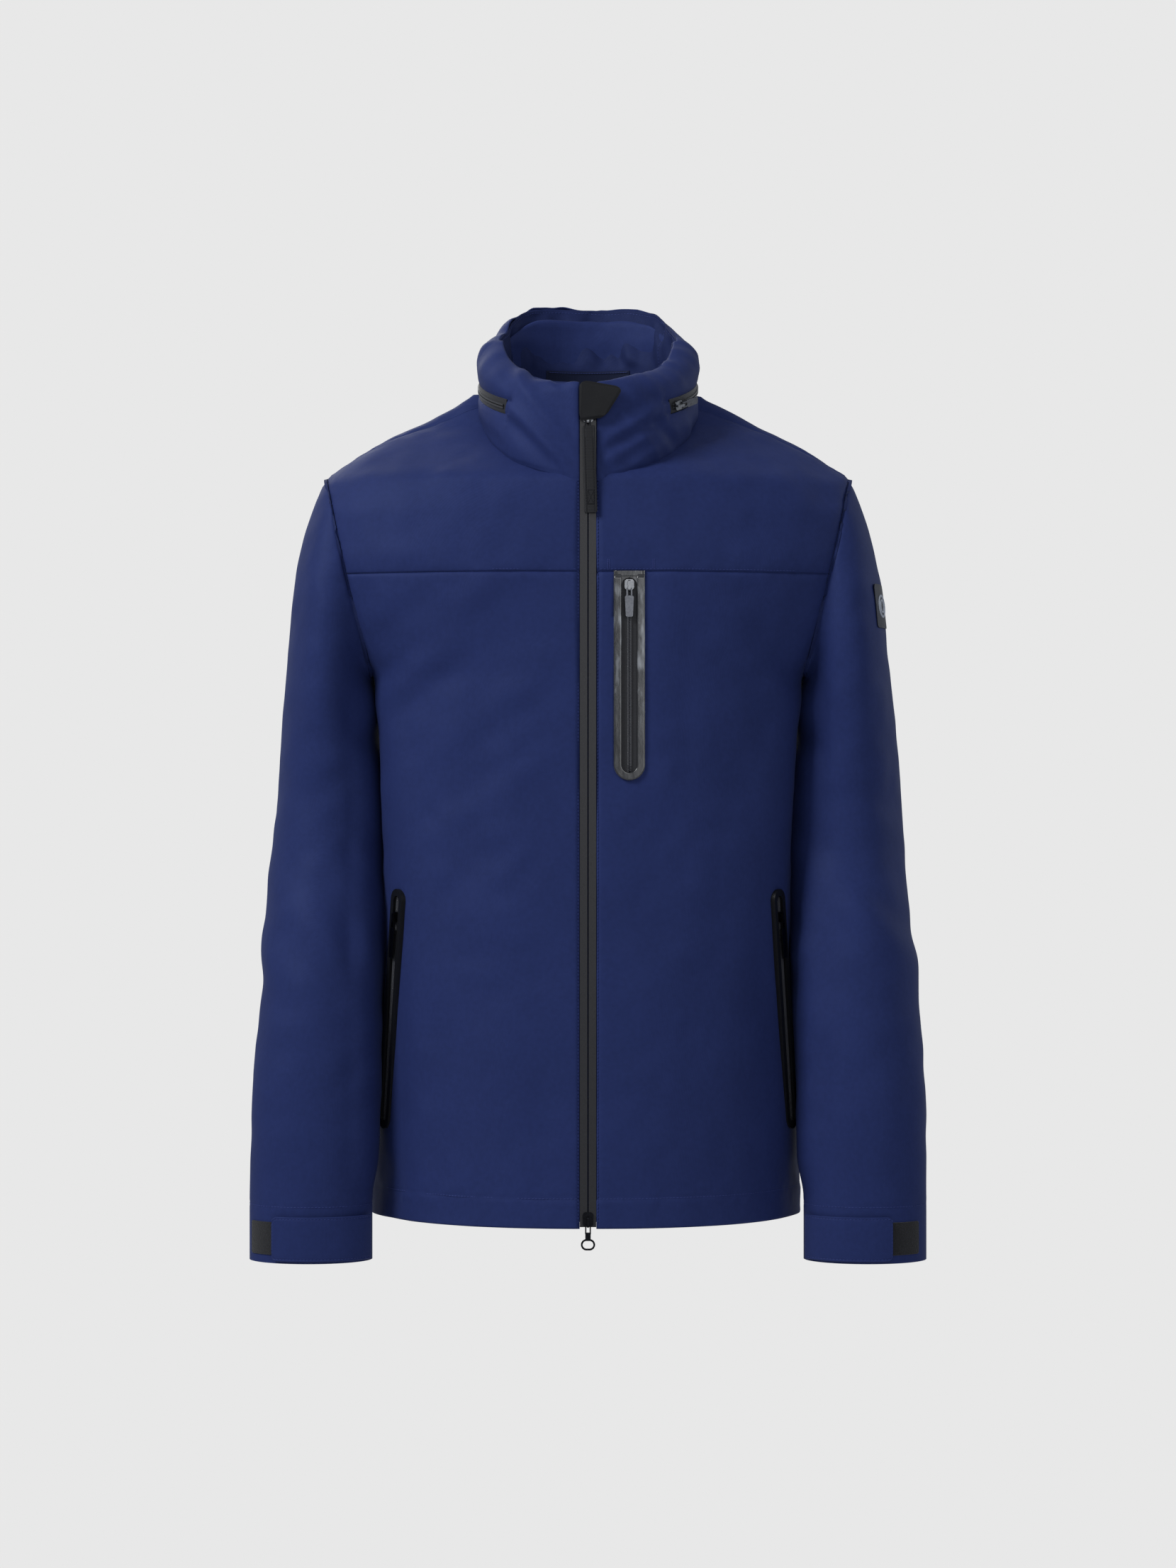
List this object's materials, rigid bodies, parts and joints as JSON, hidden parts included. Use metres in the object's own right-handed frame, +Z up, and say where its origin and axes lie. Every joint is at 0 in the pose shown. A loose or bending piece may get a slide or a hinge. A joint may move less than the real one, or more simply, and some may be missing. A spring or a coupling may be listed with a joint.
{
  "type": "foul weather jacket",
  "caption": "Waterproof sailing jacket with a two-way front zip, high collar with a packed hood, zipped pockets and adjustable cuffs, in its worn shape.",
  "frame": {"origin": "middle of the gap in the hang loop at the back of the neck", "axes": "+Z up towards the collar, -Y the wearer's front, +X the wearer's left"},
  "size_m": [0.582, 0.2624, 0.8379],
  "materials": {
    "shell_fabric": "navy coated waterproof weave, matt",
    "lining_fabric": "navy brushed collar lining",
    "bag_mesh": "fine mesh pocket bag",
    "zip_teeth": "moulded coil",
    "zip_tape": "polyurethane-coated water-repellent tape",
    "welded_frame": "welded film, satin gloss",
    "hook_and_loop": "woven hook and loop tape",
    "slider_metal": "black enamelled die-cast zinc",
    "webbing": "woven polyester webbing",
    "puller": "moulded rubbery grip",
    "label": "woven satin label, blank",
    "guard_fabric": "brushed black guard",
    "badge": "moulded badge with a plain geometric mark"
  },
  "bodies": {
    "torso": {"front_panel_left": "shell_fabric", "front_panel_right": "shell_fabric", "yoke_left": "shell_fabric", "yoke_right": "shell_fabric", "back_panel": "shell_fabric", "hem_facing": "shell_fabric", "collar_outer": "shell_fabric", "packed_hood": "shell_fabric", "collar_lining": "lining_fabric", "neck_label": "label", "hang_loop": "webbing", "side_label": "label", "inner_placket": "shell_fabric", "chin_guard": "guard_fabric", "front_zip_tape_left": "zip_tape", "front_zip_tape_right": "zip_tape", "front_zip_coil_left": "zip_teeth", "front_zip_coil_right": "zip_teeth", "front_zip_stops": "zip_teeth", "front_zip_pins": "zip_teeth", "chest_pocket_frame": "welded_frame", "chest_zip_tapes": "zip_tape", "chest_zip_coils": "zip_teeth", "chest_pocket_bag": "bag_mesh", "hand_pocket_frame_left": "welded_frame", "hand_pocket_frame_right": "welded_frame", "hand_zip_tapes_left": "zip_tape", "hand_zip_tapes_right": "zip_tape", "hand_zip_coils_left": "zip_teeth", "hand_zip_coils_right": "zip_teeth", "hand_pocket_bag_left": "bag_mesh", "hand_pocket_bag_right": "bag_mesh", "hood_zip_tapes": "zip_tape", "hood_zip_coils": "zip_teeth"},
    "top_slider": {"top_slider": "slider_metal"},
    "top_pull": {"top_pull_link": "slider_metal", "top_pull_webbing": "webbing"},
    "bottom_slider": {"bottom_slider": "slider_metal"},
    "bottom_pull": {"bottom_pull_ring": "slider_metal"},
    "chest_slider": {"chest_slider": "slider_metal"},
    "chest_pull": {"chest_pull": "puller"},
    "hand_slider_left": {"hand_slider_left": "slider_metal"},
    "hand_pull_left": {"hand_pull_left": "puller"},
    "hand_slider_right": {"hand_slider_right": "slider_metal"},
    "hand_pull_right": {"hand_pull_right": "puller"},
    "hood_slider": {"hood_slider": "slider_metal"},
    "hood_pull": {"hood_pull": "puller"},
    "upper_sleeve_left": {"upper_sleeve_left": "shell_fabric", "sleeve_badge": "badge"},
    "lower_sleeve_left": {"lower_sleeve_left": "shell_fabric", "cuff_facing_left": "shell_fabric", "cuff_loop_patch_left": "hook_and_loop"},
    "cuff_tab_left": {"cuff_tab_left": "shell_fabric", "tab_hook_patch_left": "hook_and_loop"},
    "upper_sleeve_right": {"upper_sleeve_right": "shell_fabric"},
    "lower_sleeve_right": {"lower_sleeve_right": "shell_fabric", "cuff_facing_right": "shell_fabric", "cuff_loop_patch_right": "hook_and_loop"},
    "cuff_tab_right": {"cuff_tab_right": "shell_fabric", "tab_hook_patch_right": "hook_and_loop"}
  },
  "joints": [
    {"name": "top_slider_slide", "type": "slide", "parent": "torso", "child": "top_slider", "axis": [0, -0.0599, -0.9982], "range_m": [0, 0.42]},
    {"name": "top_pull_swing", "type": "hinge", "parent": "top_slider", "child": "top_pull", "pos_m": [0, -0.16184, -0.02722], "axis": [-1, 0, 0], "range_deg": [0, 90]},
    {"name": "bottom_slider_slide", "type": "slide", "parent": "torso", "child": "bottom_slider", "axis": [0, 0.0599, 0.9982], "range_m": [0, 0.17]},
    {"name": "bottom_pull_swing", "type": "hinge", "parent": "bottom_slider", "child": "bottom_pull", "pos_m": [0, -0.20252, -0.70522], "axis": [-1, 0, 0], "range_deg": [0, 90]},
    {"name": "chest_slider_slide", "type": "slide", "parent": "torso", "child": "chest_slider", "axis": [0, -0.0599, -0.9982], "range_m": [0, 0.145]},
    {"name": "chest_pull_swing", "type": "hinge", "parent": "chest_slider", "child": "chest_pull", "pos_m": [0.035, -0.1703, -0.16986], "axis": [-1, 0, 0], "range_deg": [0, 90]},
    {"name": "hand_slider_left_slide", "type": "slide", "parent": "torso", "child": "hand_slider_left", "axis": [0.0647, 0.1145, -0.9913], "range_m": [0, 0.165]},
    {"name": "hand_pull_left_swing", "type": "hinge", "parent": "hand_slider_left", "child": "hand_pull_left", "pos_m": [0.167, -0.12955, -0.45267], "axis": [-0.5125, -0.8486, -0.1314], "range_deg": [0, 60]},
    {"name": "hand_slider_right_slide", "type": "slide", "parent": "torso", "child": "hand_slider_right", "axis": [-0.0647, 0.1145, -0.9913], "range_m": [0, 0.165]},
    {"name": "hand_pull_right_swing", "type": "hinge", "parent": "hand_slider_right", "child": "hand_pull_right", "pos_m": [-0.167, -0.12955, -0.45267], "axis": [-0.5125, 0.8486, 0.1314], "range_deg": [0, 60]},
    {"name": "hood_slider_run", "type": "hinge", "parent": "torso", "child": "hood_slider", "pos_m": [0, -0.067, 0.0105], "axis": [0, -0.342, 0.9397], "range_deg": [0, 254]},
    {"name": "hood_pull_swing", "type": "hinge", "parent": "hood_slider", "child": "hood_pull", "pos_m": [0.08181, -0.12034, -0.00891], "axis": [0, 0.342, -0.9397], "range_deg": [0, 90]},
    {"name": "shoulder_left", "type": "hinge", "parent": "torso", "child": "upper_sleeve_left", "pos_m": [0.2294, -0.06, -0.063], "axis": [0, -1, 0], "range_deg": [0, 80]},
    {"name": "elbow_left", "type": "hinge", "parent": "upper_sleeve_left", "child": "lower_sleeve_left", "pos_m": [0.23, -0.1365, -0.43], "axis": [-1, 0, 0], "range_deg": [0, 90]},
    {"name": "cuff_tab_left_peel", "type": "hinge", "parent": "lower_sleeve_left", "child": "cuff_tab_left", "pos_m": [0.18704, -0.13309, -0.722], "axis": [0, 0, -1], "range_deg": [0, 110]},
    {"name": "shoulder_right", "type": "hinge", "parent": "torso", "child": "upper_sleeve_right", "pos_m": [-0.2294, -0.06, -0.063], "axis": [0, 1, 0], "range_deg": [0, 80]},
    {"name": "elbow_right", "type": "hinge", "parent": "upper_sleeve_right", "child": "lower_sleeve_right", "pos_m": [-0.23, -0.1365, -0.43], "axis": [-1, 0, 0], "range_deg": [0, 90]},
    {"name": "cuff_tab_right_peel", "type": "hinge", "parent": "lower_sleeve_right", "child": "cuff_tab_right", "pos_m": [-0.18704, -0.13309, -0.722], "axis": [0, 0, 1], "range_deg": [0, 110]}
  ]
}
